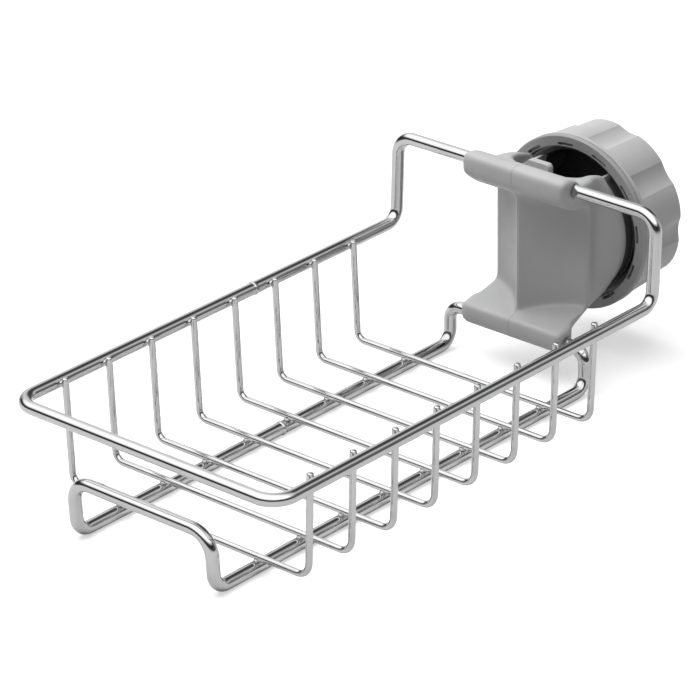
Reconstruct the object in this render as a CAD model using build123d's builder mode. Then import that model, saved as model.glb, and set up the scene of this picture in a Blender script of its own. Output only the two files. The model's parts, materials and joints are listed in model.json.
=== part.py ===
from build123d import *

import os
from math import asin, atan2, cos, hypot, radians, sin, tan

# Sponge holder: a wire basket on a clamp that grips an upright tap pipe.
# X runs across the basket, Y from its front end back to the knob, Z up.
# The origin is the middle of the footprint, on the surface that the runners stand on.
# Sizes are in millimetres. A reach is measured along Y from the top bar, forward or back.

# Wires
frame_wire = 4.0
cross_wire = 2.1
wire_seat = 0.02

# Upper frame: rim of the basket, two posts and the top bar
rim_width = 101.2
rail_height = 36.4
bar_height = 64.9
rim_reach = 170.5
post_lean = 1.5
rim_corner_bend = 7.0
post_foot_bend = 5.0
post_top_bend = 6.0
rail_weld_wire_count = 6
rail_weld_gap = 6.65

# Lower frame: two runners, a raised loop in front and a low one behind
runner_spacing = 53.8
foot_reach = 171.9
foot_lean = 1.0
foot_height = 19.6
foot_top_bend = 7.0
foot_base_bend = 5.0
heel_reach = 3.6
heel_height = 14.9
heel_bend = 5.0
runner_weld_wire_count = 5
runner_weld_gap = 3.2

# Cross wires
cross_count = 8
first_cross_gap = 17.6
last_cross_reach = 25.7
cross_base_width = 92.6
cross_bend = 4.6
cross_tip_rise = 2.0
cross_tip_round = 0.6

# Welds
bead_run = 1.1
bead_rise = 0.95
bead_width = 1.7
butt_gap = 1.4
butt_bulge = 0.15

# Slip ring in the front of the knob, on the knob's axis along Y
knob_height = 41.2
ring_reach = 23.3
ring_bore_gap = 2.85
ring_width = 3.75
ring_plate = 1.4
ring_edge_bevel = 0.4
ring_skirt_wall = 0.5
ring_slot_inset = 0.9
ring_slot_width = 0.9
ring_slot_count = 12
ring_slot_angle = 13.0
ring_slot_turn = 6.0
barb_depth = 0.6
barb_height = 1.0
ring_play = 0.2

# Knob
knob_depth = 21.2
knob_flange = 1.4
knob_ridge_inset = 0.6
knob_draft = 1.0
knob_lobe_rise = 1.1
knob_flute_sink = 0.85
knob_lobe_count = 9
knob_lobe_turn = 16.4
knob_flute_angle = 16.4
knob_back_round = 5.0
knob_back_wall = 2.6
lip_wall = 1.2
radial_gap = 0.3
thread_gap = 0.6

# Clamp body: bosses on the two wires, a column, two jaws and the threaded drum
bore_clearance = 0.05
boss_end_round = 1.6
boss_wall = 1.5
boss_edge_round = 2.3
top_boss_length = 40.4
top_boss_front = 6.6
top_boss_rise = 4.4
top_boss_drop = 3.7
top_flare_drop = 8.7
foot_boss_length = 40.0
foot_boss_front = 7.8
foot_boss_drop = 3.3
foot_under_round = 3.6
foot_edge_height = 19.0
foot_heel_height = 17.2
foot_flare_high = 22.6
column_width = 37.0
ridge_reach = 4.0
crease_reach = 8.5
scoop_depth = 2.3
block_foot = 21.3
block_drop = 0.3
waist_reach = 13.3
waist_width = 34.2
waist_drop = 0.3
collar_rise = 2.2
collar_reach = 21.8
collar_corner_angle = 54.0
drum_radius = 22.0
drum_wall = 3.4
drum_reach = 38.3
passage_width = 26.6
seat_flat_width = 11.0
seat_wall_reach = 6.0
seat_flank_reach = 10.5

# Seat pad: a soft liner in the passage, hollowed for the pipe
pad_gap = 0.05
pad_wing = 1.0
pad_seat_reach = 8.4
pad_seat_radius = 7.2
pad_seat_angle = 60.0
pad_foot = 23.5
pad_drop = 4.7
pad_wing_reach = 26.0
tab_width = 8.8
tab_rise = 2.1
tab_round = 1.4

# Places that follow from the sizes
wire_radius = frame_wire / 2
cross_radius = cross_wire / 2
half_rim = rim_width / 2
half_runner = runner_spacing / 2
knob_back_reach = ring_reach + knob_depth
ring_inner_radius = drum_radius + ring_bore_gap
ring_outer_radius = ring_inner_radius + ring_width
ring_slot_radius = ring_inner_radius + ring_slot_inset
knob_ridge_radius = ring_outer_radius - knob_ridge_inset
collar_radius = drum_radius + collar_rise
bar_y = (foot_reach + wire_radius - knob_back_reach) / 2
rim_front_y = bar_y - rim_reach
post_y = bar_y - post_lean
foot_y = bar_y - foot_reach
heel_y = bar_y - heel_reach
first_cross_y = rim_front_y + first_cross_gap
cross_pitch = (bar_y - last_cross_reach - first_cross_y) / (cross_count - 1)
cross_places = [first_cross_y + index * cross_pitch for index in range(cross_count)]

os.makedirs("parts", exist_ok=True)


def plan(height):
    """Level plane at a height, with its origin in line with the top bar."""
    return Plane(origin=(0, bar_y, height), x_dir=(1, 0, 0), z_dir=(0, 0, 1))


def side(x):
    """Upright plane across X: its axes are the reach behind the top bar and the height."""
    return Plane(origin=(x, bar_y, 0), x_dir=(0, 1, 0), z_dir=(1, 0, 0))


def across(reach):
    """Upright plane across the knob's axis, seen from the front, at a reach behind the top bar."""
    return Plane(origin=(0, bar_y + reach, knob_height), x_dir=(1, 0, 0), z_dir=(0, -1, 0))


def bent_wire(points, bends):
    """Frame wire along straight runs joined by tangent bends."""
    with BuildPart() as wire:
        with BuildLine() as path:
            FilletPolyline(*points, radius=bends)
        with BuildSketch(Plane(origin=path.line @ 0, z_dir=path.line % 0)):
            Circle(wire_radius)
        sweep(path=path.line)
    return wire


def butt_weld(x, y, z):
    """Barrel of weld metal between the two ends of a frame wire that runs along Y."""
    half_gap = butt_gap / 2
    with BuildPart() as bead:
        with BuildSketch(Plane(origin=(x, y, z), x_dir=(1, 0, 0), z_dir=(0, 0, 1))):
            with BuildLine():
                Line((0, -half_gap), (wire_radius, -half_gap))
                ThreePointArc(
                    (wire_radius, -half_gap), (wire_radius + butt_bulge, 0), (wire_radius, half_gap)
                )
                Polyline((wire_radius, half_gap), (0, half_gap), (0, -half_gap))
            make_face()
        revolve(axis=Axis((x, y, z), (0, 1, 0)))
    return bead


# Upper frame: one wire, from its butt weld round the rim, up the posts and through the clamp
rail_weld_y = cross_places[rail_weld_wire_count - 1] - rail_weld_gap
upper_points = [
    (-half_rim, rail_weld_y - butt_gap / 2, rail_height),
    (-half_rim, rim_front_y, rail_height),
    (half_rim, rim_front_y, rail_height),
    (half_rim, post_y, rail_height),
    (half_rim, bar_y, bar_height),
    (-half_rim, bar_y, bar_height),
    (-half_rim, post_y, rail_height),
    (-half_rim, rail_weld_y + butt_gap / 2, rail_height),
]
upper_bends = [rim_corner_bend] * 2 + [post_foot_bend, post_top_bend, post_top_bend, post_foot_bend]
upper_frame = bent_wire(upper_points, upper_bends)
upper_frame.part.label = "upper_frame"
export_step(upper_frame.part, "parts/upper_frame.step")

rail_butt_weld = butt_weld(-half_rim, rail_weld_y, rail_height)
rail_butt_weld.part.label = "rail_butt_weld"
export_step(rail_butt_weld.part, "parts/rail_butt_weld.step")

# Lower frame: the second wire, along the runners and up into a loop at each end
runner_weld_y = cross_places[runner_weld_wire_count - 1] - runner_weld_gap
lower_points = [
    (-half_runner, runner_weld_y - butt_gap / 2, wire_radius),
    (-half_runner, foot_y + foot_lean, wire_radius),
    (-half_runner, foot_y, foot_height),
    (half_runner, foot_y, foot_height),
    (half_runner, foot_y + foot_lean, wire_radius),
    (half_runner, heel_y, wire_radius),
    (half_runner, heel_y, heel_height),
    (-half_runner, heel_y, heel_height),
    (-half_runner, heel_y, wire_radius),
    (-half_runner, runner_weld_y + butt_gap / 2, wire_radius),
]
lower_bends = [foot_base_bend, foot_top_bend, foot_top_bend, foot_base_bend] + [heel_bend] * 4
lower_frame = bent_wire(lower_points, lower_bends)
lower_frame.part.label = "lower_frame"
export_step(lower_frame.part, "parts/lower_frame.step")

runner_butt_weld = butt_weld(-half_runner, runner_weld_y, wire_radius)
runner_butt_weld.part.label = "runner_butt_weld"
export_step(runner_butt_weld.part, "parts/runner_butt_weld.step")

# Cross wires: each lies on the runners and leans out to touch the inside of both rails
cross_height = frame_wire + cross_radius + wire_seat
half_base = cross_base_width / 2
rail_rise = rail_height - cross_height
rail_step = half_rim - half_base
touch_distance = wire_radius + cross_radius + wire_seat
side_lean = atan2(rail_step, rail_rise) - asin(touch_distance / hypot(rail_step, rail_rise))
tip_height = rail_height + cross_tip_rise
half_tip = half_base + (tip_height - cross_height) * tan(side_lean)
for number, y in enumerate(cross_places, start=1):
    with BuildPart() as cross:
        with BuildLine() as path:
            FilletPolyline(
                (-half_tip, y, tip_height),
                (-half_base, y, cross_height),
                (half_base, y, cross_height),
                (half_tip, y, tip_height),
                radius=cross_bend,
            )
        with BuildSketch(Plane(origin=path.line @ 0, z_dir=path.line % 0)):
            Circle(cross_radius)
        sweep(path=path.line)
        tips = cross.faces().filter_by(GeomType.PLANE).edges()
        chamfer(tips, cross_tip_round)
    cross.part.label = f"cross_wire_{number}"
    export_step(cross.part, f"parts/cross_wire_{number}.step")


def cross_welds(centre_x, centre_z, away):
    """Fillets of weld metal along one rail or runner, in the corners on both sides of each cross wire."""
    floor = wire_radius + wire_seat
    wall = cross_radius + wire_seat
    along = Vector(0, 1, 0)
    with BuildPart() as beads:
        with BuildSketch(Plane(origin=(centre_x, 0, centre_z), x_dir=along, z_dir=along.cross(away))):
            for y in cross_places:
                for turn in (-1, 1):
                    Polygon(
                        (y + turn * wall, floor),
                        (y + turn * wall, floor + bead_rise),
                        (y + turn * (wall + bead_run), floor),
                        align=None,
                    )
        extrude(amount=bead_width / 2, both=True)
    return beads


# Weld fillets, in one group along each rail and each runner
for name, sign in (("left", -1), ("right", 1)):
    rim_welds = cross_welds(sign * half_rim, rail_height, Vector(-sign * cos(side_lean), 0, sin(side_lean)))
    rim_welds.part.label = f"rim_welds_{name}"
    export_step(rim_welds.part, f"parts/rim_welds_{name}.step")
    runner_welds = cross_welds(sign * half_runner, wire_radius, Vector(0, 0, 1))
    runner_welds.part.label = f"runner_welds_{name}"
    export_step(runner_welds.part, f"parts/runner_welds_{name}.step")

# Clamp body
half_column = column_width / 2
half_passage = passage_width / 2
half_seat_flat = seat_flat_width / 2
half_foot_boss = foot_boss_length / 2
bore_radius = wire_radius + bore_clearance
top_boss_low = bar_height - top_boss_drop
top_boss_high = bar_height + top_boss_rise
top_boss_back = wire_radius + boss_wall
foot_boss_low = heel_height - foot_boss_drop
foot_boss_back = wire_radius + boss_wall - heel_reach
foot_slope = (foot_flare_high - foot_edge_height) / (crease_reach + foot_boss_front)
foot_boss_high = foot_edge_height + foot_slope * (foot_boss_back + foot_boss_front)
block_top = bar_height - block_drop
top_flare_low = bar_height - top_flare_drop
passage_top = max(top_boss_high, knob_height + collar_radius)
block_middle = (block_top + block_foot) / 2 - knob_height
corner_x = collar_radius * cos(radians(collar_corner_angle))
corner_z = collar_radius * sin(radians(collar_corner_angle))
edge_slant = boss_edge_round * sin(radians(45))
with BuildPart() as clamp_body:
    # Foot boss: flat in front, with a facet on top that climbs towards the column
    with BuildSketch(side(-half_foot_boss)):
        with BuildLine():
            Polyline(
                (-foot_boss_front, foot_edge_height),
                (foot_boss_back, foot_boss_high),
                (foot_boss_back, foot_boss_low),
                (foot_under_round - foot_boss_front, foot_boss_low),
            )
            RadiusArc(
                (foot_under_round - foot_boss_front, foot_boss_low),
                (-foot_boss_front, foot_boss_low + foot_under_round),
                foot_under_round,
            )
            Line(
                (-foot_boss_front, foot_boss_low + foot_under_round),
                (-foot_boss_front, foot_edge_height),
            )
        make_face()
    extrude(amount=foot_boss_length)
    fillet(clamp_body.faces().filter_by(Axis.X).edges(), boss_end_round)

    # Gusset from the back of the foot boss up to the sides of the column
    with BuildSketch(across(foot_boss_back)):
        with Locations((0, (foot_boss_high + foot_heel_height) / 2 - knob_height)):
            Rectangle(foot_boss_length - 2 * boss_end_round, foot_boss_high - foot_heel_height)
    with BuildSketch(across(crease_reach)):
        with Locations((0, (foot_flare_high + block_foot) / 2 - knob_height)):
            Rectangle(column_width, foot_flare_high - block_foot)
    loft(ruled=True)

    # Column: a ridge in front with a hollow scoop down each side of it
    with BuildSketch(plan(foot_boss_low)):
        with BuildLine():
            SagittaArc((0, -ridge_reach), (half_column, crease_reach), scoop_depth)
            Line((half_column, crease_reach), (0, crease_reach))
            mirror(about=Plane.YZ)
        make_face()
    extrude(amount=block_top - foot_boss_low)
    with BuildSketch(side(-half_column)):
        Polygon(
            (foot_boss_back, 0),
            (foot_boss_back, foot_heel_height),
            (crease_reach, block_foot),
            (crease_reach, 0),
            align=None,
        )
    extrude(amount=column_width, mode=Mode.SUBTRACT)

    # Top boss: flat in front, round above and below
    with BuildSketch(side(-top_boss_length / 2)):
        with BuildLine():
            Polyline(
                (top_boss_back, bar_height + wire_radius / 2),
                (top_boss_back, top_boss_low),
                (boss_edge_round - top_boss_front, top_boss_low),
            )
            RadiusArc(
                (boss_edge_round - top_boss_front, top_boss_low),
                (-top_boss_front, top_boss_low + boss_edge_round),
                boss_edge_round,
            )
            Line(
                (-top_boss_front, top_boss_low + boss_edge_round),
                (-top_boss_front, top_boss_high - boss_edge_round),
            )
            RadiusArc(
                (-top_boss_front, top_boss_high - boss_edge_round),
                (boss_edge_round - top_boss_front, top_boss_high),
                boss_edge_round,
            )
            ThreePointArc(
                (boss_edge_round - top_boss_front, top_boss_high),
                (0, bar_height + top_boss_back),
                (top_boss_back, bar_height + wire_radius / 2),
            )
        make_face()
    extrude(amount=top_boss_length)
    top_ends = clamp_body.faces(Select.LAST).filter_by(Axis.X)
    fillet(top_ends.edges(), boss_end_round)

    # Flare under the top boss, running down to the scoops
    flare_start = (boss_edge_round - top_boss_front - edge_slant, top_boss_low + boss_edge_round - edge_slant)
    with BuildSketch(side(-half_column)):
        with BuildLine():
            TangentArc(flare_start, (crease_reach, top_flare_low), tangent=(1, -1))
            Polyline(
                (crease_reach, top_flare_low),
                (crease_reach, block_top),
                (0, block_top),
                flare_start,
            )
        make_face()
    extrude(amount=column_width)

    # Jaw block: square at the column, narrower at the waist, round-sided at the collar
    with BuildSketch(across(crease_reach)):
        with Locations((0, block_middle)):
            Rectangle(column_width, block_top - block_foot)
    with BuildSketch(across(waist_reach)):
        with Locations((0, block_middle)):
            Rectangle(waist_width, block_top - block_foot - 2 * waist_drop)
    with BuildSketch(across(collar_reach)):
        with BuildLine():
            ThreePointArc((corner_x, -corner_z), (drum_radius, 0), (corner_x, corner_z))
            ThreePointArc((corner_x, corner_z), (0, collar_radius), (-corner_x, corner_z))
            ThreePointArc((-corner_x, corner_z), (-drum_radius, 0), (-corner_x, -corner_z))
            ThreePointArc((-corner_x, -corner_z), (0, -collar_radius), (corner_x, -corner_z))
        make_face()
    loft(ruled=True)

    # Drum behind the collar, which carries the thread
    with BuildSketch(across(collar_reach)):
        Circle(drum_radius)
        Circle(drum_radius - drum_wall, mode=Mode.SUBTRACT)
    extrude(amount=collar_reach - drum_reach)

    # Passage for the pipe, open above, below and behind, with a V-shaped seat in front
    with BuildSketch(plan(0)):
        with BuildLine():
            Polyline(
                (0, seat_wall_reach),
                (half_seat_flat, seat_wall_reach),
                (half_passage, seat_flank_reach),
                (half_passage, drum_reach),
                (0, drum_reach),
            )
            mirror(about=Plane.YZ)
        make_face()
    extrude(amount=passage_top, mode=Mode.SUBTRACT)

    # Bores for the two wires
    with BuildSketch(side(0)):
        with Locations((0, bar_height), (-heel_reach, heel_height)):
            Circle(bore_radius)
    extrude(amount=foot_boss_length, both=True, mode=Mode.SUBTRACT)
clamp_body.part.label = "clamp_body"
export_step(clamp_body.part, "parts/clamp_body.step")

# Seat pad: fills the V, hollowed in front for the pipe, with thin wings along both jaws and a tab on top
pad_seat_turn = radians(pad_seat_angle)
pad_lip_x = pad_seat_radius * sin(pad_seat_turn)
pad_lip_reach = pad_seat_reach + pad_seat_radius * (1 - cos(pad_seat_turn))
pad_half_width = half_passage - pad_gap
pad_top = bar_height - pad_drop
tab_top = bar_height + tab_rise
with BuildPart() as seat_pad:
    with BuildSketch(plan(pad_foot)):
        with BuildLine():
            Polyline(
                (0, seat_wall_reach + pad_gap),
                (half_seat_flat, seat_wall_reach + pad_gap),
                (pad_half_width, seat_flank_reach + pad_gap),
                (pad_half_width, pad_wing_reach),
                (pad_half_width - pad_wing, pad_wing_reach),
                (pad_half_width - pad_wing, pad_lip_reach),
                (pad_lip_x, pad_lip_reach),
            )
            RadiusArc((pad_lip_x, pad_lip_reach), (0, pad_seat_reach), pad_seat_radius)
            mirror(about=Plane.YZ)
        make_face()
    extrude(amount=pad_top - pad_foot)
    with BuildSketch(plan(pad_top)):
        with Locations((0, (seat_wall_reach + pad_gap + pad_seat_reach) / 2)):
            Rectangle(tab_width, pad_seat_reach - seat_wall_reach - pad_gap)
    extrude(amount=tab_top - pad_top)
    tab_corners = seat_pad.faces().sort_by(Axis.Z)[-1].edges().filter_by(Axis.Y)
    fillet(tab_corners, tab_round)
seat_pad.part.label = "seat_pad"
export_step(seat_pad.part, "parts/seat_pad.step")

# Slip ring: a flat plate with slots, and a skirt whose barbs snap behind the knob's lip
skirt_radius = ring_inner_radius + ring_skirt_wall
barb_reach = ring_reach + ring_plate + ring_play + lip_wall + ring_play
slot_step = 360 / ring_slot_count
slot_turns = [ring_slot_turn + index * slot_step for index in range(ring_slot_count)]


def on_axis(radius, turn):
    """Point at a radius and at an angle round the knob's axis."""
    return (radius * cos(radians(turn)), radius * sin(radians(turn)))


def slot_band(inner, outer):
    """A narrow band between two radii, kept only where the ring has its slots."""
    Circle(outer)
    Circle(inner, mode=Mode.SUBTRACT)
    half_solid = (slot_step - ring_slot_angle) / 2
    for turn in slot_turns:
        middle = turn + slot_step / 2
        Polygon(
            (0, 0),
            on_axis(ring_outer_radius, middle - half_solid),
            on_axis(ring_outer_radius, middle + half_solid),
            align=None,
            mode=Mode.SUBTRACT,
        )


with BuildPart() as pressure_ring:
    with BuildSketch(across(ring_reach)):
        Circle(ring_outer_radius)
        Circle(ring_inner_radius, mode=Mode.SUBTRACT)
    extrude(amount=-ring_plate)
    rim = pressure_ring.edges().filter_by(GeomType.CIRCLE).sort_by(SortBy.RADIUS)[-2:].sort_by(Axis.Y)[0]
    chamfer(rim, ring_edge_bevel)
    with BuildSketch(across(ring_reach + ring_plate)):
        Circle(skirt_radius)
        Circle(ring_inner_radius, mode=Mode.SUBTRACT)
    extrude(amount=ring_reach + ring_plate - barb_reach - barb_height)
    with BuildSketch(across(ring_reach)):
        slot_band(ring_slot_radius - ring_slot_width / 2, ring_slot_radius + ring_slot_width / 2)
    extrude(amount=-ring_plate, mode=Mode.SUBTRACT)
    with BuildSketch(across(barb_reach)):
        slot_band(skirt_radius, skirt_radius + barb_depth)
    extrude(amount=-barb_height)
pressure_ring.part.label = "pressure_ring"
export_step(pressure_ring.part, "parts/pressure_ring.step")

# Knob: a cup with lobes and flutes round a plain front flange, threaded inside
flange_reach = ring_reach + ring_plate + ring_play
flute_reach = flange_reach + knob_flange
groove_reach = flange_reach + lip_wall
thread_reach = barb_reach + barb_height + ring_play
thread_radius = drum_radius + thread_gap
lip_radius = skirt_radius + radial_gap
groove_radius = skirt_radius + barb_depth + radial_gap
lobe_step = 360 / knob_lobe_count
half_flute = knob_flute_angle / 2
half_lobe = lobe_step / 2 - half_flute
knob_sections = ((flute_reach, knob_ridge_radius), (knob_back_reach, knob_ridge_radius - knob_draft))

with BuildPart() as knob:
    with BuildSketch(across(flange_reach)):
        Circle(ring_outer_radius)
    extrude(amount=-knob_flange)
    for reach, ridge_radius in knob_sections:
        lobe_middle = ridge_radius * cos(radians(half_lobe)) + knob_lobe_rise
        flute_middle = ridge_radius * cos(radians(half_flute)) - knob_flute_sink
        with BuildSketch(across(reach)):
            with BuildLine():
                for index in range(knob_lobe_count):
                    lobe_turn = knob_lobe_turn + index * lobe_step
                    flute_turn = lobe_turn + lobe_step / 2
                    ThreePointArc(
                        on_axis(ridge_radius, lobe_turn - half_lobe),
                        on_axis(lobe_middle, lobe_turn),
                        on_axis(ridge_radius, lobe_turn + half_lobe),
                    )
                    ThreePointArc(
                        on_axis(ridge_radius, flute_turn - half_flute),
                        on_axis(flute_middle, flute_turn),
                        on_axis(ridge_radius, flute_turn + half_flute),
                    )
            make_face()
    loft(ruled=True)

    # The back edge is turned to a round
    turned_radius = ring_outer_radius + knob_lobe_rise
    with BuildSketch(plan(knob_height)):
        with BuildLine():
            Polyline(
                (turned_radius - knob_back_round, knob_back_reach),
                (0, knob_back_reach),
                (0, flange_reach),
                (turned_radius, flange_reach),
                (turned_radius, knob_back_reach - knob_back_round),
            )
            RadiusArc(
                (turned_radius, knob_back_reach - knob_back_round),
                (turned_radius - knob_back_round, knob_back_reach),
                -knob_back_round,
            )
        make_face()
    revolve(axis=Axis((0, bar_y, knob_height), (0, 1, 0)), mode=Mode.INTERSECT)

    # Lip, groove for the barbs, and threaded bore
    for start, end, radius in (
        (flange_reach, thread_reach, lip_radius),
        (groove_reach, thread_reach, groove_radius),
        (thread_reach, knob_back_reach - knob_back_wall, thread_radius),
    ):
        with BuildSketch(across(start)):
            Circle(radius)
        extrude(amount=start - end, mode=Mode.SUBTRACT)
knob.part.label = "knob"
export_step(knob.part, "parts/knob.step")
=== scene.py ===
"""Sponge holder: a polished wire basket on a grey plastic tap clamp, set on a pale floor."""

import json
import logging
import math
from collections.abc import Sequence
from dataclasses import dataclass, field
from enum import Enum

import bpy
from mathutils import Matrix, Vector

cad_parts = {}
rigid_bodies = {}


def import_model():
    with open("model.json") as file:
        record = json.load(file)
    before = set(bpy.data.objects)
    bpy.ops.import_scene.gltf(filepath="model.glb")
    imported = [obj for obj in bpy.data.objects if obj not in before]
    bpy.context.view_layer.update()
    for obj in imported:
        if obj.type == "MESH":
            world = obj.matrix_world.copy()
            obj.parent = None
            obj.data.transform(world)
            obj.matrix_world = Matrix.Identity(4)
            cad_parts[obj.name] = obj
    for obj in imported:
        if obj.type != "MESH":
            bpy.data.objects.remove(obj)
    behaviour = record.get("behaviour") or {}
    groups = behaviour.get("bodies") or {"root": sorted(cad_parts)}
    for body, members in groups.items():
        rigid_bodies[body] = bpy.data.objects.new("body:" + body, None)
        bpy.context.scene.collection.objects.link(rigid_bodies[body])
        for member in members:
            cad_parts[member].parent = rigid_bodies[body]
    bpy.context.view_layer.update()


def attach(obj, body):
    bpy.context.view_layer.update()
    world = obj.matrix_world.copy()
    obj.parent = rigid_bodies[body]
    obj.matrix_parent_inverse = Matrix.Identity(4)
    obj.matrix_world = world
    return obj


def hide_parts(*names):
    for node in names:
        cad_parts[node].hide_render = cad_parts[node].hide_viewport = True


log = logging.getLogger("sponge_holder")

MM = 0.001
BAR_Y = 64.7  # middle line of the top bar, in millimetres
KNOB_Z = 41.2  # height of the knob's axis, in millimetres


class Body(Enum):
    """Moving bodies of the holder."""

    BASKET = "basket"
    RING = "slip_ring"
    KNOB = "turning_knob"


class Slot(Enum):
    """Finish slots of the holder's record."""

    FRAME = "frame_wire"
    CROSS = "cross_wire"
    WELD = "weld"
    CLAMP = "clamp_plastic"
    PAD = "soft_pad"
    RING = "ring_plastic"
    KNOB = "knob_plastic"


def mm(x: float, y: float, z: float) -> Vector:
    """Point or step in metres, from millimetres."""
    return Vector((x * MM, y * MM, z * MM))


def deselect() -> None:
    """Leave edit mode and deselect every object."""
    if bpy.context.mode != "OBJECT":
        bpy.ops.object.mode_set(mode="OBJECT")
    bpy.ops.object.select_all(action="DESELECT")


def pick(piece: bpy.types.Object) -> None:
    """Make one piece the only selected and the active object.

    Args:
        piece: The piece to pick.
    """
    deselect()
    piece.select_set(True)
    bpy.context.view_layer.objects.active = piece


def settle(piece: bpy.types.Object, name: str) -> bpy.types.Object:
    """Name a piece and apply its place, so that its object sits at the origin.

    Args:
        piece: The piece, in object or edit mode.
        name: Its final name.

    Returns:
        The same piece.
    """
    pick(piece)
    bpy.ops.object.transform_apply(location=True, rotation=True, scale=True)
    piece.name = name
    piece.data.name = name
    return piece


def tidy_faces(piece: bpy.types.Object, merge: float = 0.002, outwards: bool = True) -> None:
    """Merge doubles and turn the faces outwards.

    Args:
        piece: The piece to tidy.
        merge: Distance in millimetres under which points are merged.
        outwards: Whether the normals are recalculated.
    """
    pick(piece)
    bpy.ops.object.mode_set(mode="EDIT")
    bpy.ops.mesh.select_all(action="SELECT")
    bpy.ops.mesh.remove_doubles(threshold=merge * MM)
    if outwards:
        bpy.ops.mesh.normals_make_consistent(inside=False)
    bpy.ops.object.mode_set(mode="OBJECT")


def smooth(piece: bpy.types.Object, angle: float = 35.0) -> None:
    """Shade a piece smooth, with creases over an angle in degrees."""
    pick(piece)
    bpy.ops.object.shade_smooth_by_angle(angle=math.radians(angle))


def dress(piece: bpy.types.Object, material: bpy.types.Material, body: Body) -> None:
    """Give a piece its only material and the body that it rides on.

    Args:
        piece: The finished piece.
        material: Its material.
        body: The body that it rides on.
    """
    piece.data.materials.clear()
    piece.data.materials.append(material)
    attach(piece, body.value)
    log.info("%s: %d faces, rides on %s", piece.name, len(piece.data.polygons), body.value)


# Finishes

NOISE_LOW, NOISE_HIGH = 0.3, 0.7  # most values of a noise lie between these
MIX_FACTOR, MIX_FIRST, MIX_SECOND, MIX_RESULT = 0, 6, 7, 2  # colour sockets of a Mix node


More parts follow.
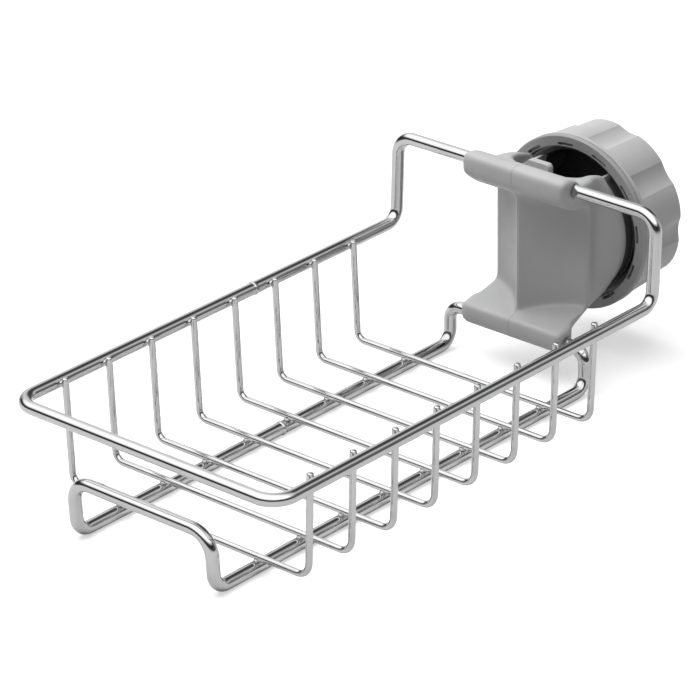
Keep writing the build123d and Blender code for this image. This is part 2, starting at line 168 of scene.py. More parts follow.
class NodeBoard:
    """The node tree of a material or a world, with short ways to add and join its nodes."""

    def __init__(self, owner: bpy.types.Material | bpy.types.World, output: str) -> None:
        """Empty the owner's node tree, but for its output.

        Args:
            owner: The new material or world.
            output: The output node's type, without its ShaderNode prefix.
        """
        owner.use_nodes = True
        self.owner = owner
        self.tree = owner.node_tree
        self.tree.nodes.clear()
        self.output = self.add(output)

    def add(self, kind: str, **sockets: object) -> bpy.types.Node:
        """Add a node and set some of its input sockets.

        Args:
            kind: The node's type, without its ShaderNode prefix.
            sockets: Socket names, with _ for a space, and their values.

        Returns:
            The new node.
        """
        node = self.tree.nodes.new("ShaderNode" + kind)
        for name, value in sockets.items():
            node.inputs[name.replace("_", " ")].default_value = value
        return node

    def join(self, source: bpy.types.NodeSocket, target: bpy.types.NodeSocket) -> None:
        """Link one socket to another."""
        self.tree.links.new(source, target)

    def finish(self, surface: bpy.types.NodeSocket) -> bpy.types.Material | bpy.types.World:
        """Link the last shader to the output and hand over the material or world."""
        self.join(surface, self.output.inputs["Surface"])
        return self.owner

    def maths(
        self,
        operation: str,
        first: bpy.types.NodeSocket,
        second: bpy.types.NodeSocket | float = 0.0,
        third: bpy.types.NodeSocket | float = 0.0,
    ) -> bpy.types.NodeSocket:
        """Work out a value from up to three others.

        Args:
            operation: Name of the operation.
            first: Socket of the first value.
            second: Socket or number of the second value.
            third: Socket or number of the third value.

        Returns:
            The result's socket.
        """
        node = self.add("Math")
        node.operation = operation
        self.join(first, node.inputs[0])
        for place, value in ((1, second), (2, third)):
            if isinstance(value, (int, float)):
                node.inputs[place].default_value = value
            else:
                self.join(value, node.inputs[place])
        return node.outputs["Value"]

    def noise(
        self,
        per_metre: float,
        detail: float = 2.0,
        stretch: Vector | None = None,
    ) -> bpy.types.NodeSocket:
        """Noise on the object's own coordinates.

        Args:
            per_metre: Scale of the noise, in features a metre.
            detail: Octaves of the noise.
            stretch: Scale of the coordinates along each axis.

        Returns:
            The noise value's socket.
        """
        place = self.add("TexCoord")
        mapping = self.add("Mapping")
        mapping.inputs["Scale"].default_value = stretch or Vector((1, 1, 1))
        texture = self.add("TexNoise", Scale=per_metre, Detail=detail)
        self.join(place.outputs["Object"], mapping.inputs["Vector"])
        self.join(mapping.outputs["Vector"], texture.inputs["Vector"])
        return texture.outputs["Fac"]

    def spread(self, source: bpy.types.NodeSocket, low: float, high: float) -> bpy.types.NodeSocket:
        """Map the middle of a noise to a range of values.

        Args:
            source: The noise's socket.
            low: Value where the noise is low.
            high: Value where the noise is high.

        Returns:
            The value's socket.
        """
        node = self.add("MapRange", From_Min=NOISE_LOW, From_Max=NOISE_HIGH, To_Min=low, To_Max=high)
        self.join(source, node.inputs["Value"])
        return node.outputs["Result"]

    def tint(self, source: bpy.types.NodeSocket, dark: tuple, light: tuple) -> bpy.types.NodeSocket:
        """Map a noise to a colour between a dark and a light one.

        Args:
            source: The noise's socket.
            dark: Colour where the noise is low.
            light: Colour where the noise is high.

        Returns:
            The colour's socket.
        """
        ramp = self.add("ValToRGB")
        for element, place, colour in zip(ramp.color_ramp.elements, (NOISE_LOW, NOISE_HIGH), (dark, light)):
            element.position = place
            element.color = (*colour, 1)
        self.join(source, ramp.inputs["Fac"])
        return ramp.outputs["Color"]

    def shade(
        self,
        colour: bpy.types.NodeSocket,
        where: bpy.types.NodeSocket,
        level: float,
    ) -> bpy.types.NodeSocket:
        """Darken a colour where a mask is 1.

        Args:
            colour: The colour's socket.
            where: The mask's socket.
            level: What is left of the colour where the mask is 1.

        Returns:
            The darkened colour's socket.
        """
        mix = self.add("Mix")
        mix.data_type = "RGBA"
        mix.blend_type = "MULTIPLY"
        mix.inputs[MIX_SECOND].default_value = (level, level, level, 1)
        self.join(where, mix.inputs[MIX_FACTOR])
        self.join(colour, mix.inputs[MIX_FIRST])
        return mix.outputs[MIX_RESULT]

    def relief(
        self,
        source: bpy.types.NodeSocket,
        depth: float,
        below: bpy.types.NodeSocket | None = None,
    ) -> bpy.types.NodeSocket:
        """Bump from a height between 0 and 1.

        Args:
            source: The height's socket.
            depth: Depth in millimetres of a height of 1.
            below: Normal of a bump that this one is laid on.

        Returns:
            The normal's socket.
        """
        bump = self.add("Bump", Strength=1.0, Distance=depth * MM)
        self.join(source, bump.inputs["Height"])
        if below is not None:
            self.join(below, bump.inputs["Normal"])
        return bump.outputs["Normal"]


def new_material(name: str) -> NodeBoard:
    """Node board of a new material."""
    return NodeBoard(bpy.data.materials.new(name), "OutputMaterial")


@dataclass(frozen=True)
class PolishedSteel:
    """Electropolished stainless wire: a clear reflection, a little wavy, with fine haze."""

    name: str = "polished_steel"
    dark: tuple = (0.56, 0.56, 0.565)
    light: tuple = (0.61, 0.61, 0.615)
    rough_low: float = 0.035
    rough_high: float = 0.09
    tone_scale: float = 110
    haze_scale: float = 320
    wave_scale: float = 240
    wave_depth: float = 0.0022

    def build(self) -> bpy.types.Material:
        """Make the material.

        Returns:
            The new material.
        """
        board = new_material(self.name)
        shader = board.add("BsdfPrincipled", Metallic=1.0)
        tone = board.tint(board.noise(self.tone_scale), self.dark, self.light)
        haze = board.spread(board.noise(self.haze_scale), self.rough_low, self.rough_high)
        wave = board.relief(board.noise(self.wave_scale, 1), self.wave_depth)
        board.join(tone, shader.inputs["Base Color"])
        board.join(haze, shader.inputs["Roughness"])
        board.join(wave, shader.inputs["Normal"])
        return board.finish(shader.outputs["BSDF"])


@dataclass(frozen=True)
class WeldMetal:
    """Weld metal after polishing: bright, pitted and uneven."""

    name: str = "weld_metal"
    dark: tuple = (0.42, 0.42, 0.42)
    light: tuple = (0.68, 0.68, 0.68)
    rough_low: float = 0.12
    rough_high: float = 0.32
    grain_scale: float = 1700
    pit_depth: float = 0.12

    def build(self) -> bpy.types.Material:
        """Make the material.

        Returns:
            The new material.
        """
        board = new_material(self.name)
        shader = board.add("BsdfPrincipled", Metallic=1.0)
        grain = board.noise(self.grain_scale, 3)
        board.join(board.tint(grain, self.dark, self.light), shader.inputs["Base Color"])
        board.join(board.spread(grain, self.rough_high, self.rough_low), shader.inputs["Roughness"])
        board.join(board.relief(grain, self.pit_depth), shader.inputs["Normal"])
        return board.finish(shader.outputs["BSDF"])


@dataclass(frozen=True)
class MouldedPlastic:
    """Satin grey moulding: fine spark texture, slight flow marks, a thin parting line and, where a bore is
    given, painted shade inside it.
    """

    name: str
    dark: tuple
    light: tuple
    rough_low: float = 0.40
    rough_high: float = 0.52
    grain_depth: float = 0.012
    grain_scale: float = 2600
    sheen_scale: float = 420
    flow_scale: float = 70
    flow_stretch: tuple = (1, 1, 0.4)
    parting: float = 0.0
    parting_level: float = 0.70
    parting_depth: float = 0.06
    bore_shade_radius: float = 0.0
    bore_shade_front: float = 60.0
    bore_shade_back: float = 130.0
    bore_shade_level: float = 0.16
    bore_shade_blur: float = 0.15

    def build(self) -> bpy.types.Material:
        """Make the material.

        Returns:
            The new material.
        """
        board = new_material(self.name)
        shader = board.add("BsdfPrincipled", IOR=1.5)
        colour = board.tint(board.noise(self.flow_scale, 3, Vector(self.flow_stretch)), self.dark, self.light)
        normal = board.relief(board.noise(self.grain_scale), self.grain_depth)
        sheen = board.spread(board.noise(self.sheen_scale, 3), self.rough_low, self.rough_high)
        if self.parting:
            line = self.parting_line(board)
            colour = board.shade(colour, line, self.parting_level)
            normal = board.relief(line, -self.parting_depth, normal)
        # Painted shade: the colour is darkened inside the bore round the knob's axis, where shade falls in
        # the hollow.
        if self.bore_shade_radius:
            colour = board.shade(colour, self.painted_bore_shade(board), self.bore_shade_level)
        board.join(colour, shader.inputs["Base Color"])
        board.join(sheen, shader.inputs["Roughness"])
        board.join(normal, shader.inputs["Normal"])
        return board.finish(shader.outputs["BSDF"])

    def painted_bore_shade(self, board: NodeBoard) -> bpy.types.NodeSocket:
        """Where painted shade darkens the inside of the clamp's hollow drum, round the knob's axis, in place
        of the shade that falls in that hollow.

        Args:
            board: The material's nodes.

        Returns:
            A socket that is 1 in the bore and 0 outside it.
        """
        place = board.add("TexCoord")
        shift = board.add("VectorMath")
        shift.operation = "SUBTRACT"
        shift.inputs[1].default_value = mm(0, 0, KNOB_Z)
        flat = board.add("VectorMath")
        flat.operation = "MULTIPLY"
        flat.inputs[1].default_value = (1, 0, 1)
        length = board.add("VectorMath")
        length.operation = "LENGTH"
        split = board.add("SeparateXYZ")
        board.join(place.outputs["Object"], split.inputs["Vector"])
        board.join(place.outputs["Object"], shift.inputs[0])
        board.join(shift.outputs["Vector"], flat.inputs[0])
        board.join(flat.outputs["Vector"], length.inputs[0])
        inside = self.beside(board, length.outputs["Value"], self.bore_shade_radius, False)
        behind = self.beside(board, split.outputs["Y"], self.bore_shade_front, True)
        before = self.beside(board, split.outputs["Y"], self.bore_shade_back, False)
        return board.maths("MULTIPLY", board.maths("MULTIPLY", inside, behind), before)

    def beside(
        self,
        board: NodeBoard,
        value: bpy.types.NodeSocket,
        edge: float,
        beyond: bool,
    ) -> bpy.types.NodeSocket:
        """Where a length lies beyond or short of an edge.

        Args:
            board: The material's nodes.
            value: Socket of the length, in metres.
            edge: The edge, in millimetres.
            beyond: Whether the result is 1 beyond the edge, and not short of it.

        Returns:
            A socket that is 1 on the chosen side and 0 on the other.
        """
        low, high = (0.0, 1.0) if beyond else (1.0, 0.0)
        step = board.add(
            "MapRange",
            From_Min=(edge - self.bore_shade_blur) * MM,
            From_Max=(edge + self.bore_shade_blur) * MM,
            To_Min=low,
            To_Max=high,
        )
        board.join(value, step.inputs["Value"])
        return step.outputs["Result"]

    def parting_line(self, board: NodeBoard) -> bpy.types.NodeSocket:
        """Strength of the thin seam that the mould leaves in front, in the middle plane.

        Args:
            board: The material's nodes.

        Returns:
            A socket that is 1 in the seam and 0 beside it.
        """
        place = board.add("TexCoord")
        split = board.add("SeparateXYZ")
        board.join(place.outputs["Object"], split.inputs["Vector"])
        seam = board.add("MapRange", From_Min=0.0, From_Max=self.parting * MM, To_Min=1.0, To_Max=0.0)
        board.join(board.maths("ABSOLUTE", split.outputs["X"]), seam.inputs["Value"])
        return seam.outputs["Result"]


# Wires


@dataclass
class WireBender:
    """Bends round wire: a ring of points is extruded along each run and spun round each bend."""

    radius: float
    sides: int = 28
    bend_steps: int = 10
    tip_segments: int = 4
    crease: float = 50

    def bend(
        self,
        name: str,
        points: list[Vector],
        bends: Sequence[float],
        tip_round: float = 0.0,
    ) -> bpy.types.Object:
        """Make one wire.

        Args:
            name: The wire's name.
            points: Where its runs meet, in millimetres, with its two ends.
            bends: Radius of each bend, at the wire's middle line, in millimetres.
            tip_round: How far each tip is rounded, in millimetres.

        Returns:
            The wire, in object mode at the origin.
        """
        deselect()
        first = (points[1] - points[0]).normalized()
        bpy.ops.mesh.primitive_circle_add(
            vertices=self.sides,
            radius=self.radius * MM,
            fill_type="NOTHING",
            location=points[0] * MM,
            rotation=first.to_track_quat("Z", "Y").to_euler(),
        )
        wire = settle(bpy.context.object, name)
        bpy.ops.object.mode_set(mode="EDIT")
        bpy.ops.mesh.select_mode(type="VERT")
        bpy.ops.mesh.select_all(action="SELECT")
        start = points[0]
        for before, corner, after, radius in zip(points, points[1:], points[2:], bends):
            arriving = (corner - before).normalized()
            leaving = (after - corner).normalized()
            turn = arriving.angle(leaving)
            reach = radius * math.tan(turn / 2)
            self.run(corner - arriving * reach - start)
            axis = arriving.cross(leaving).normalized()
            centre = corner - arriving * reach + axis.cross(arriving) * radius
            bpy.ops.mesh.spin(steps=self.bend_steps, angle=-turn, center=centre * MM, axis=axis)
            start = corner + leaving * reach
        self.run(points[-1] - start)
        bpy.ops.object.mode_set(mode="OBJECT")
        self.close(wire, tip_round)
        return wire

    def run(self, step: Vector) -> None:
        """Extrude the selected ring along a straight run, in millimetres."""
        bpy.ops.mesh.extrude_region_move(TRANSFORM_OT_translate={"value": step * MM})

    def close(self, wire: bpy.types.Object, tip_round: float) -> None:
        """Close both ends, round them and turn the faces outwards.

        Args:
            wire: The open wire, in object mode.
            tip_round: How far each tip is rounded, in millimetres.
        """
        tidy_faces(wire)
        bpy.ops.object.mode_set(mode="EDIT")
        bpy.ops.mesh.select_mode(type="EDGE")
        bpy.ops.mesh.select_all(action="DESELECT")
        bpy.ops.mesh.select_non_manifold()
        bpy.ops.mesh.edge_face_add()
        if tip_round:
            bpy.ops.mesh.select_mode(type="FACE")
            bpy.ops.object.mode_set(mode="OBJECT")
            for face in wire.data.polygons:
                face.select = len(face.vertices) == self.sides
            bpy.ops.object.mode_set(mode="EDIT")
            bpy.ops.mesh.bevel(offset=tip_round * MM, segments=self.tip_segments, affect="EDGES")
        bpy.ops.object.mode_set(mode="OBJECT")
        tidy_faces(wire)
        smooth(wire, self.crease)


@dataclass
class BasketWires:
    """The two frame wires and the eight cross wires."""

    half_rim: float = 50.6
    rail_height: float = 36.4
    bar_height: float = 64.9
    rim_reach: float = 170.5
    post_lean: float = 1.5
    half_runner: float = 26.9
    foot_reach: float = 171.9
    foot_lean: float = 1.0
    foot_height: float = 19.6
    heel_reach: float = 3.6
    heel_height: float = 14.9
    frame_radius: float = 2.0
    cross_radius: float = 1.05
    cross_sides: int = 20
    cross_steps: int = 8
    seat: float = 0.02
    half_base: float = 46.3
    left_bend: float = 3.0
    right_bend: float = 4.6
    tip_rise: float = 2.0
    tip_round: float = 0.6
    upper_bends: tuple = (7, 7, 5, 6, 6, 5)
    lower_bends: tuple = (5, 7, 7, 5, 5, 5, 5, 5)
    cross_count: int = 8
    first_gap: float = 17.6
    last_reach: float = 25.7
    rail_weld_wire: int = 6
    rail_weld_gap: float = 6.65
    runner_weld_wire: int = 5
    runner_weld_gap: float = 3.2
    butt_half_gap: float = 0.7

    def __post_init__(self) -> None:
        """Work out the places that follow from the sizes."""
        self.rim_y = BAR_Y - self.rim_reach
        first = self.rim_y + self.first_gap
        pitch = (BAR_Y - self.last_reach - first) / (self.cross_count - 1)
        self.cross_ys = [first + index * pitch for index in range(self.cross_count)]
        self.rail_weld_y = self.cross_ys[self.rail_weld_wire - 1] - self.rail_weld_gap
        self.runner_weld_y = self.cross_ys[self.runner_weld_wire - 1] - self.runner_weld_gap
        self.cross_z = 2 * self.frame_radius + self.cross_radius + self.seat
        self.touch = self.frame_radius + self.cross_radius + self.seat
        rise = self.rail_height - self.cross_z
        step = self.half_rim - self.half_base
        self.lean = math.atan2(step, rise) - math.asin(self.touch / math.hypot(step, rise))

    def build(self, steel: bpy.types.Material) -> None:
        """Make and dress all the wires.

        Args:
            steel: The wires' material.
        """
        self.build_upper(steel)
        self.build_lower(steel)
        bender = WireBender(self.cross_radius, self.cross_sides, self.cross_steps)
        bends = [self.left_bend, self.right_bend]
        tip_z = self.rail_height + self.tip_rise
        tip_x = self.half_base + (tip_z - self.cross_z) * math.tan(self.lean)
        for number, y in enumerate(self.cross_ys, start=1):
            points = [
                Vector((-tip_x, y, tip_z)),
                Vector((-self.half_base, y, self.cross_z)),
                Vector((self.half_base, y, self.cross_z)),
                Vector((tip_x, y, tip_z)),
            ]
            wire = bender.bend(f"polished_cross_wire_{number}", points, bends, self.tip_round)
            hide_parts(f"cross_wire_{number}")
            dress(wire, steel, Body.BASKET)

    def build_upper(self, steel: bpy.types.Material) -> None:
        """The rim, the posts and the top bar.

        Args:
            steel: The wire's material.
        """
        x, y, z = self.half_rim, self.rail_weld_y, self.rail_height
        post_y = BAR_Y - self.post_lean
        points = [
            Vector((-x, y - self.butt_half_gap, z)),
            Vector((-x, self.rim_y, z)),
            Vector((x, self.rim_y, z)),
            Vector((x, post_y, z)),
            Vector((x, BAR_Y, self.bar_height)),
            Vector((-x, BAR_Y, self.bar_height)),
            Vector((-x, post_y, z)),
            Vector((-x, y + self.butt_half_gap, z)),
        ]
        wire = WireBender(self.frame_radius).bend("polished_upper_frame", points, self.upper_bends)
        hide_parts("upper_frame")
        dress(wire, steel, Body.BASKET)

    def build_lower(self, steel: bpy.types.Material) -> None:
        """The runners with the loops at their ends.

        Args:
            steel: The wire's material.
        """
        x, y, z = self.half_runner, self.runner_weld_y, self.frame_radius
        foot_y = BAR_Y - self.foot_reach
        heel_y = BAR_Y - self.heel_reach
        points = [
            Vector((-x, y - self.butt_half_gap, z)),
            Vector((-x, foot_y + self.foot_lean, z)),
            Vector((-x, foot_y, self.foot_height)),
            Vector((x, foot_y, self.foot_height)),
            Vector((x, foot_y + self.foot_lean, z)),
            Vector((x, heel_y, z)),
            Vector((x, heel_y, self.heel_height)),
            Vector((-x, heel_y, self.heel_height)),
            Vector((-x, heel_y, z)),
            Vector((-x, y + self.butt_half_gap, z)),
        ]
        wire = WireBender(self.frame_radius).bend("polished_lower_frame", points, self.lower_bends)
        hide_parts("lower_frame")
        dress(wire, steel, Body.BASKET)


@dataclass
class Welds:
    """Beads of weld metal at the crossings, and the two butt welds in the frame wires."""

    wires: BasketWires
    bead_size: tuple = (1.1, 1.5, 0.6)
    bead_segments: int = 18
    bead_rings: int = 10
    bead_unevenness: float = 0.11
    bead_seed: int = 3
    bead_smoothing: float = 0.4
    bead_sink: float = 0.05
    bead_crease: float = 80
    butt_sides: int = 28
    butt_steps: int = 6
    butt_bulge: float = 0.11
    butt_unevenness: float = 0.1
    butt_seed: int = 5
    butt_crease: float = 60

    def build(self, metal: bpy.types.Material) -> None:
        """Make and dress all the welds.

        Args:
            metal: The welds' material.
        """
        bead = self.model_bead()
        w = self.wires
        for name, sign in (("left", -1), ("right", 1)):
            inward = Vector((-sign * math.cos(w.lean), 0, math.sin(w.lean)))
            rail = Vector((sign * w.half_rim, 0, w.rail_height))
            self.place(bead, f"rim_welds_{name}", rail, inward, metal)
            runner = Vector((sign * w.half_runner, 0, w.frame_radius))
            self.place(bead, f"runner_welds_{name}", runner, Vector((0, 0, 1)), metal)
        bpy.data.objects.remove(bead)
        self.build_butt("rail_butt_weld", Vector((-w.half_rim, w.rail_weld_y, w.rail_height)), metal)
        self.build_butt("runner_butt_weld", Vector((-w.half_runner, w.runner_weld_y, w.frame_radius)), metal)

    def model_bead(self) -> bpy.types.Object:
        """Model one squeezed-out bead: Y lies along the heavy wire and Z points to the cross wire.

        Returns:
            The bead, at the origin.
        """
        deselect()
        bpy.ops.mesh.primitive_uv_sphere_add(
            segments=self.bead_segments,
            ring_count=self.bead_rings,
            radius=MM,
        )
        bead = settle(bpy.context.object, "bead")
        bpy.ops.object.mode_set(mode="EDIT")
        bpy.ops.mesh.select_all(action="SELECT")
        bpy.ops.transform.resize(value=self.bead_size)
        bpy.ops.transform.vertex_random(offset=self.bead_unevenness * MM, seed=self.bead_seed)
        bpy.ops.mesh.vertices_smooth(factor=self.bead_smoothing)
        bpy.ops.object.mode_set(mode="OBJECT")
        smooth(bead, self.bead_crease)
        return bead

    def place(
        self,
        bead: bpy.types.Object,
        node: str,
        wire: Vector,
        away: Vector,
        metal: bpy.types.Material,
    ) -> None:
        """Copy the bead to every crossing along one heavy wire.

        Args:
            bead: The bead that is copied.
            node: The node that the beads replace.
            wire: A point of the heavy wire's middle line, in millimetres.
            away: Direction from the heavy wire to the cross wires.
            metal: The beads' material.
        """
        along = Vector((0, 1, 0))
        copies = []
        for index, y in enumerate(self.wires.cross_ys):
            piece = bead.copy()
            piece.data = bead.data.copy()
            bpy.context.scene.collection.objects.link(piece)
            flip = -1 if index % 2 else 1
            turned = Matrix((along.cross(away) * flip, along * flip, away)).transposed().to_4x4()
            centre = Vector((wire.x, y, wire.z)) + away * (self.wires.frame_radius + self.bead_sink)
            piece.data.transform(Matrix.Translation(centre * MM) @ turned)
            copies.append(piece)
        deselect()
        for piece in copies:
            piece.select_set(True)
        bpy.context.view_layer.objects.active = copies[0]
        bpy.ops.object.join()
        group = settle(copies[0], node + "_beads")
        smooth(group, self.bead_crease)
        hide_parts(node)
        dress(group, metal, Body.BASKET)

    def build_butt(self, node: str, centre: Vector, metal: bpy.types.Material) -> None:
        """A ground-down barrel of weld metal round a frame wire that runs along Y.

        Args:
            node: The node that the weld replaces.
            centre: The weld's middle, in millimetres.
            metal: The weld's material.
        """
        deselect()
        half = self.wires.butt_half_gap
        radius = self.wires.frame_radius
        bpy.ops.mesh.primitive_circle_add(
            vertices=self.butt_sides,
            radius=radius * MM,
            fill_type="NGON",
            location=(centre - Vector((0, half, 0))) * MM,
            rotation=(math.radians(-90), 0, 0),
        )
        weld = settle(bpy.context.object, node + "_barrel")
        bpy.ops.object.mode_set(mode="EDIT")
        bpy.ops.mesh.select_all(action="SELECT")
        steps = self.butt_steps
        for index in range(1, steps + 1):
            bpy.ops.mesh.extrude_region_move(TRANSFORM_OT_translate={"value": mm(0, 2 * half / steps, 0)})
            before = 1 + self.butt_bulge * math.sin(math.pi * (index - 1) / steps)
            after = 1 + self.butt_bulge * math.sin(math.pi * index / steps)
            bpy.ops.transform.resize(value=(after / before,) * 3)
        bpy.ops.mesh.select_all(action="SELECT")
        bpy.ops.transform.vertex_random(offset=self.butt_unevenness * MM, seed=self.butt_seed)
        bpy.ops.object.mode_set(mode="OBJECT")
        tidy_faces(weld)
        smooth(weld, self.butt_crease)
        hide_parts(node)
        dress(weld, metal, Body.BASKET)


# Clamp


@dataclass
class Moulding:
    """A moulded piece that keeps its node's form, with its edges broken by a small round."""

    node: str
    name: str
    edge_round: float = 0.3
    edge_segments: int = 2
    edge_angle: float = 15.0
    flat_angle: float = 0.5
    merge: float = 0.004
    crease: float = 40

    def build(self, material: bpy.types.Material, slot: Slot, body: Body) -> None:
        """Copy the node, soften its edges and dress the copy.

        Args:
            material: The moulding's material.
            slot: The slot that its finish comes from; not used.
            body: The body that it rides on.
        """
        source = bpy.data.objects[self.node]
        piece = bpy.data.objects.new(self.name, source.data.copy())
        bpy.context.scene.collection.objects.link(piece)
        settle(piece, self.name)
        tidy_faces(piece, self.merge, False)
        bpy.ops.mesh.customdata_custom_splitnormals_clear()
        self.soften(piece)
        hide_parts(self.node)
        dress(piece, material, body)

    def soften(self, piece: bpy.types.Object) -> None:
        """Join flat faces again and break the edges between them.

        Args:
            piece: The copy of the node, active and in object mode.
        """
        bpy.ops.object.mode_set(mode="EDIT")
        bpy.ops.mesh.select_all(action="SELECT")
        bpy.ops.mesh.dissolve_limited(angle_limit=math.radians(self.flat_angle))
        bpy.ops.object.mode_set(mode="OBJECT")
        bevel = piece.modifiers.new("edge_round", "BEVEL")
        bevel.width = self.edge_round * MM
        bevel.segments = self.edge_segments
        bevel.limit_method = "ANGLE"
        bevel.angle_limit = math.radians(self.edge_angle)
        bevel.miter_outer = "MITER_ARC"
        bpy.ops.object.modifier_apply(modifier=bevel.name)
        smooth(piece, self.crease)
        weight = piece.modifiers.new("flat_faces", "WEIGHTED_NORMAL")
        weight.keep_sharp = True
        bpy.ops.object.modifier_apply(modifier=weight.name)


@dataclass
class FlowingMoulding(Moulding):
    """A moulding whose faces flow into each other, with rounds in its corners and on its edges."""

    grain: float = 0.4
    pull: float = 0.5
    passes: int = 5
    corner_passes: int = 45
    corner_depth: float = 0.05
    corner_back: float = 76.0
    corner_spread: int = 3

    def soften(self, piece: bpy.types.Object) -> None:
        """Lay a fine even mesh over the form, smooth it, and round its hollow corners more.

        Args:
            piece: The copy of the node, active and in object mode.
        """
        piece.data.remesh_voxel_size = self.grain * MM
        bpy.ops.object.voxel_remesh()
        bpy.ops.object.mode_set(mode="EDIT")
        bpy.ops.mesh.select_mode(type="VERT")
        bpy.ops.mesh.select_all(action="SELECT")
        bpy.ops.mesh.vertices_smooth(factor=self.pull, repeat=self.passes)
        bpy.ops.object.mode_set(mode="OBJECT")
        self.pick_corners(piece.data)
        bpy.ops.object.mode_set(mode="EDIT")
        for _ in range(self.corner_spread):
            bpy.ops.mesh.select_more()
        bpy.ops.mesh.vertices_smooth(factor=self.pull, repeat=self.corner_passes)
        bpy.ops.object.mode_set(mode="OBJECT")
        bpy.ops.object.shade_smooth()

    def pick_corners(self, mesh: bpy.types.Mesh) -> None:
        """Select the points of the column and the bosses that lie in a hollow corner.

        Args:
            mesh: The even mesh, in object mode.
        """
        sums = [Vector() for _ in mesh.vertices]
        counts = [0] * len(mesh.vertices)
        for edge in mesh.edges:
            a, b = edge.vertices
            sums[a] += mesh.vertices[b].co
            sums[b] += mesh.vertices[a].co
            counts[a] += 1
            counts[b] += 1
        for vertex, total, count in zip(mesh.vertices, sums, counts):
            rise = (total / count - vertex.co).dot(vertex.normal)
            vertex.select = rise > self.corner_depth * MM and vertex.co.y < self.corner_back * MM


@dataclass
class ScrewThread:
    """A trapezoidal right-hand thread round the knob's axis, wound from the outline of its ridge."""

    name: str
    root: float
    crest: float
    start: float
    turns: int
    pitch: float = 3.0
    root_width: float = 1.3
    crest_width: float = 0.6
    steps: int = 64
    slot_half_width: float = 0.0
    slot_margin: float = 0.01
    crease: float = 40

    def build(self, material: bpy.types.Material, slot: Slot, body: Body) -> None:
        """Wind the ridge and dress it.

        Args:
            material: Material of the piece that carries the thread.
            slot: The slot that its finish comes from; not used.
            body: The body that it rides on.
        """
        ridge = self.draw_outline()
        winding = ridge.modifiers.new("winding", "SCREW")
        winding.axis = "Y"
        winding.angle = 2 * math.pi
        winding.screw_offset = self.pitch * MM
        winding.iterations = self.turns
        winding.steps = self.steps
        winding.render_steps = self.steps
        bpy.ops.object.modifier_apply(modifier=winding.name)
        settle(ridge, self.name)
        bpy.ops.object.mode_set(mode="EDIT")
        bpy.ops.mesh.select_all(action="SELECT")
        bpy.ops.mesh.fill_holes(sides=4)
        bpy.ops.object.mode_set(mode="OBJECT")
        tidy_faces(ridge)
        if self.slot_half_width:
            self.cut_slot(ridge)
        smooth(ridge, self.crease)
        dress(ridge, material, body)

    def draw_outline(self) -> bpy.types.Object:
        """Draw the outline of the ridge above the axis, with its crest narrower than its root.

        Returns:
            The outline, in object mode, with its origin on the axis.
        """
        deselect()
        place = mm(0, BAR_Y + self.start, KNOB_Z)
        bpy.ops.mesh.primitive_plane_add(size=MM, location=place, rotation=(0, -math.pi / 2, 0))
        ridge = bpy.context.object
        bpy.ops.object.transform_apply(location=False, rotation=True, scale=True)
        height = self.crest - self.root
        middle = (self.crest + self.root) / 2
        bpy.ops.object.mode_set(mode="EDIT")
        bpy.ops.mesh.select_mode(type="VERT")
        bpy.ops.mesh.select_all(action="SELECT")
        bpy.ops.transform.resize(value=(1, self.root_width, abs(height)))
        bpy.ops.transform.translate(value=mm(0, 0, middle))
        bpy.ops.object.mode_set(mode="OBJECT")
        for vertex in ridge.data.vertices:
            vertex.select = (vertex.co.z / MM - middle) * height > 0
        bpy.ops.object.mode_set(mode="EDIT")
        bpy.ops.transform.resize(value=(1, self.crest_width / self.root_width, 1))
        bpy.ops.mesh.select_all(action="SELECT")
        bpy.ops.mesh.delete(type="ONLY_FACE")
        bpy.ops.object.mode_set(mode="OBJECT")
        return ridge

    def cut_slot(self, ridge: bpy.types.Object) -> None:
        """Cut the thread away where the pipe passage runs through the drum.

        Args:
            ridge: The wound thread.
        """
        pick(ridge)
        bpy.ops.object.mode_set(mode="EDIT")
        for sign in (-1, 1):
            bpy.ops.mesh.select_all(action="SELECT")
            bpy.ops.mesh.bisect(plane_co=mm(sign * self.slot_half_width, 0, 0), plane_no=(1, 0, 0))
        bpy.ops.mesh.select_all(action="DESELECT")
        bpy.ops.object.mode_set(mode="OBJECT")
        for vertex in ridge.data.vertices:
            vertex.select = abs(vertex.co.x) < (self.slot_half_width - self.slot_margin) * MM
        bpy.ops.object.mode_set(mode="EDIT")
        bpy.ops.mesh.delete(type="VERT")
        bpy.ops.mesh.select_all(action="SELECT")
        bpy.ops.mesh.fill_holes(sides=8)
        bpy.ops.object.mode_set(mode="OBJECT")
        tidy_faces(ridge)


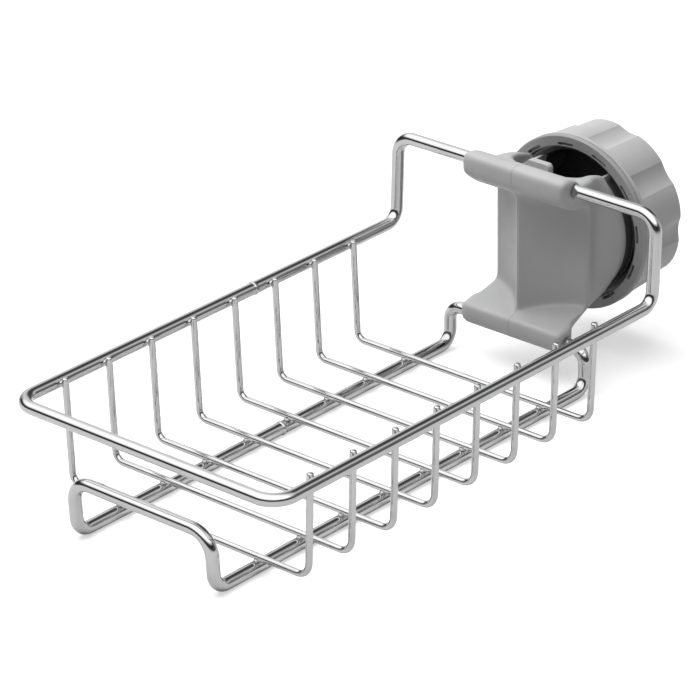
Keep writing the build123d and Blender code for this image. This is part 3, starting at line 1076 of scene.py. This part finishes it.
@dataclass
class Clamp:
    """The clamp body, its seat pad, the slip ring and the knob."""

    # The bore values of the body, ring and knob greys set painted shade inside their bores round the knob's
    # axis.
    body_grey: MouldedPlastic = MouldedPlastic(
        "clamp_grey",
        (0.38, 0.38, 0.385),
        (0.41, 0.41, 0.415),
        parting=0.24,
        bore_shade_radius=23.0,
        bore_shade_front=87.4,
    )
    pad_grey: MouldedPlastic = MouldedPlastic(
        "pad_grey",
        (0.38, 0.38, 0.385),
        (0.41, 0.41, 0.415),
        rough_low=0.6,
        rough_high=0.75,
        grain_depth=0.02,
    )
    ring_grey: MouldedPlastic = MouldedPlastic(
        "ring_grey",
        (0.28, 0.28, 0.285),
        (0.31, 0.31, 0.315),
        bore_shade_radius=25.1,
    )
    knob_grey: MouldedPlastic = MouldedPlastic(
        "knob_grey",
        (0.40, 0.40, 0.405),
        (0.43, 0.43, 0.435),
        bore_shade_radius=24.0,
        bore_shade_back=108.0,
    )

    def build(self) -> None:
        """Make and dress the clamp's pieces."""
        body_grey = self.body_grey.build()
        pad_grey = self.pad_grey.build()
        ring_grey = self.ring_grey.build()
        knob_grey = self.knob_grey.build()
        body = FlowingMoulding("clamp_body", "clamp_moulding")
        pad = Moulding("seat_pad", "seat_pad_moulding")
        ring = Moulding("pressure_ring", "slip_ring_moulding", edge_round=0.15)
        knob = Moulding("knob", "knob_moulding", edge_round=0.35)
        knob_thread = ScrewThread("knob_thread", root=22.8, crest=22.15, start=30.1, turns=3)
        drum_thread = ScrewThread(
            "drum_thread",
            root=21.7,
            crest=22.45,
            start=25.6,
            turns=4,
            slot_half_width=13.35,
        )
        body.build(body_grey, Slot.CLAMP, Body.BASKET)
        pad.build(pad_grey, Slot.PAD, Body.BASKET)
        ring.build(ring_grey, Slot.RING, Body.RING)
        knob.build(knob_grey, Slot.KNOB, Body.KNOB)
        drum_thread.build(body_grey, Slot.CLAMP, Body.BASKET)
        knob_thread.build(knob_grey, Slot.KNOB, Body.KNOB)


# Studio


@dataclass
class Studio:
    """Pale floor, soft light from above and a camera at the photograph's viewing angle."""

    eye: Vector = field(default_factory=lambda: Vector((739.19, -850.79, 563.25)))
    azimuth: float = 41.56
    elevation: float = 25.34
    roll: float = -0.94
    focal_pixels: float = 4173.81
    image_pixels: float = 700.0
    sensor: float = 36.0
    far_clip: float = 100.0
    floor_half: float = 9.0
    floor_tone: float = 0.60
    floor_glow: tuple = (("Is Camera Ray", 0.55), ("Is Glossy Ray", 0.08), ("Is Transmission Ray", 0.08))
    fill_level: float = 0.2
    front_until: float = 0.15
    back_from: float = 0.60
    lamp_size: float = 1.2
    lamp_watts: float = 19.5
    lamp_place: tuple = (-0.28, -0.10, 1.0)
    lamp_target: tuple = (0, 0, 0.03)
    brightest: float = 2.0
    front_levels: tuple = ((0.0, 0.35), (0.06, 0.06), (0.32, 0.03), (0.43, 0.6), (0.52, 1.5), (0.60, 1.7))
    back_levels: tuple = (
        (0.12, 1.00),
        (0.21, 0.90),
        (0.29, 0.25),
        (0.36, 0.08),
        (0.54, 0.08),
        (0.63, 0.30),
        (0.71, 0.95),
        (0.77, 0.55),
        (0.84, 0.16),
    )

    def build(self) -> None:
        """Set the camera, the floor, the world and the lamp."""
        bpy.context.scene.view_settings.view_transform = "Standard"
        self.place_camera()
        self.lay_floor()
        self.light_world()
        self.hang_lamp()

    def place_camera(self) -> None:
        """Camera at the place and turn that were fitted to the photograph."""
        a, e, r = (math.radians(value) for value in (self.azimuth, self.elevation, self.roll))
        back = Vector((math.sin(a) * math.cos(e), -math.cos(a) * math.cos(e), math.sin(e)))
        right = Vector((math.cos(a), math.sin(a), 0))
        up = back.cross(right)
        turned_right = right * math.cos(r) + up * math.sin(r)
        turned_up = up * math.cos(r) - right * math.sin(r)
        data = bpy.data.cameras.new("camera")
        data.sensor_width = self.sensor
        data.lens = self.focal_pixels / self.image_pixels * self.sensor
        data.clip_end = self.far_clip
        camera = bpy.data.objects.new("camera", data)
        turn = Matrix((turned_right, turned_up, back)).transposed()
        camera.matrix_world = Matrix.Translation(self.eye * MM) @ turn.to_4x4()
        bpy.context.scene.collection.objects.link(camera)
        bpy.context.scene.camera = camera

    def lay_floor(self) -> None:
        """A wide pale floor that keeps the object's soft shadow and is white to the camera."""
        deselect()
        bpy.ops.mesh.primitive_plane_add(size=2 * self.floor_half)
        floor = settle(bpy.context.object, "studio_floor")
        board = new_material("floor_white")
        paper = board.add("BsdfDiffuse", Color=(self.floor_tone,) * 3 + (1,))
        glow = board.add("Emission", Color=(1, 1, 1, 1))
        path = board.add("LightPath")
        strength = 0.0
        for ray, level in self.floor_glow:
            strength = board.maths("MULTIPLY_ADD", path.outputs[ray], level, strength)
        board.join(strength, glow.inputs["Strength"])
        seen = board.add("AddShader")
        board.join(paper.outputs["BSDF"], seen.inputs[0])
        board.join(glow.outputs["Emission"], seen.inputs[1])
        floor.data.materials.append(board.finish(seen.outputs["Shader"]))

    def light_world(self) -> None:
        """White to the camera, a soft fill for matt surfaces, and a lit studio for what is polished."""
        board = NodeBoard(bpy.data.worlds.new("studio"), "OutputWorld")
        white = (1, 1, 1, 1)
        polished = board.add("Background", Strength=self.brightest)
        board.join(self.surroundings(board), polished.inputs["Color"])
        fill = board.add("Background", Color=white, Strength=self.fill_level)
        backdrop = board.add("Background", Color=white, Strength=1.0)
        path = board.add("LightPath")
        unseen = board.add("MixShader")
        board.join(path.outputs["Is Glossy Ray"], unseen.inputs["Fac"])
        board.join(fill.outputs["Background"], unseen.inputs[1])
        board.join(polished.outputs["Background"], unseen.inputs[2])
        every = board.add("MixShader")
        board.join(path.outputs["Is Camera Ray"], every.inputs["Fac"])
        board.join(unseen.outputs["Shader"], every.inputs[1])
        board.join(backdrop.outputs["Background"], every.inputs[2])
        bpy.context.scene.world = board.finish(every.outputs["Shader"])

    def surroundings(self, board: NodeBoard) -> bpy.types.NodeSocket:
        """The studio as polished wire sees it: by height in front, and by side behind.

        Args:
            board: The world's nodes.

        Returns:
            The brightness's socket, where 1 is the brightest level.
        """
        place = board.add("TexCoord")
        split = board.add("SeparateXYZ")
        board.join(place.outputs["Generated"], split.inputs["Vector"])
        across = board.add("MapRange", From_Min=-1.0)
        board.join(split.outputs["X"], across.inputs["Value"])
        share = board.add("MapRange", From_Min=self.front_until, From_Max=self.back_from)
        board.join(split.outputs["Y"], share.inputs["Value"])
        studio = board.add("Mix")
        studio.data_type = "RGBA"
        board.join(share.outputs["Result"], studio.inputs[MIX_FACTOR])
        sources = (
            (self.front_levels, split.outputs["Z"], MIX_FIRST),
            (self.back_levels, across.outputs["Result"], MIX_SECOND),
        )
        for stops, value, socket in sources:
            ramp = self.ramp(board, stops)
            board.join(value, ramp.inputs["Fac"])
            board.join(ramp.outputs["Color"], studio.inputs[socket])
        return studio.outputs[MIX_RESULT]

    def ramp(self, board: NodeBoard, stops: tuple) -> bpy.types.Node:
        """Brightness of the studio in one direction.

        Args:
            board: The world's nodes.
            stops: Place between 0 and 1 and brightness of each stop.

        Returns:
            The ramp's node.
        """
        ramp = board.add("ValToRGB")
        elements = ramp.color_ramp.elements
        while len(elements) < len(stops):
            elements.new(0.5)
        for element, (place, level) in zip(elements, stops):
            element.position = place
            element.color = (level / self.brightest,) * 3 + (1,)
        return ramp

    def hang_lamp(self) -> None:
        """A broad lamp overhead, a little to the left."""
        data = bpy.data.lights.new("overhead", "AREA")
        data.shape = "SQUARE"
        data.size = self.lamp_size
        data.energy = self.lamp_watts
        lamp = bpy.data.objects.new("overhead", data)
        lamp.location = self.lamp_place
        aim = Vector(self.lamp_target) - lamp.location
        lamp.rotation_euler = aim.to_track_quat("-Z", "Y").to_euler()
        lamp.visible_glossy = False
        bpy.context.scene.collection.objects.link(lamp)


def main() -> None:
    """Load the frame, build each sub-assembly on it and set the studio."""
    logging.basicConfig(level=logging.INFO, format="%(name)s %(message)s")
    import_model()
    wires = BasketWires()
    wires.build(PolishedSteel().build())
    Welds(wires).build(WeldMetal().build())
    Clamp().build()
    Studio().build()


if __name__ == "__main__":
    main()
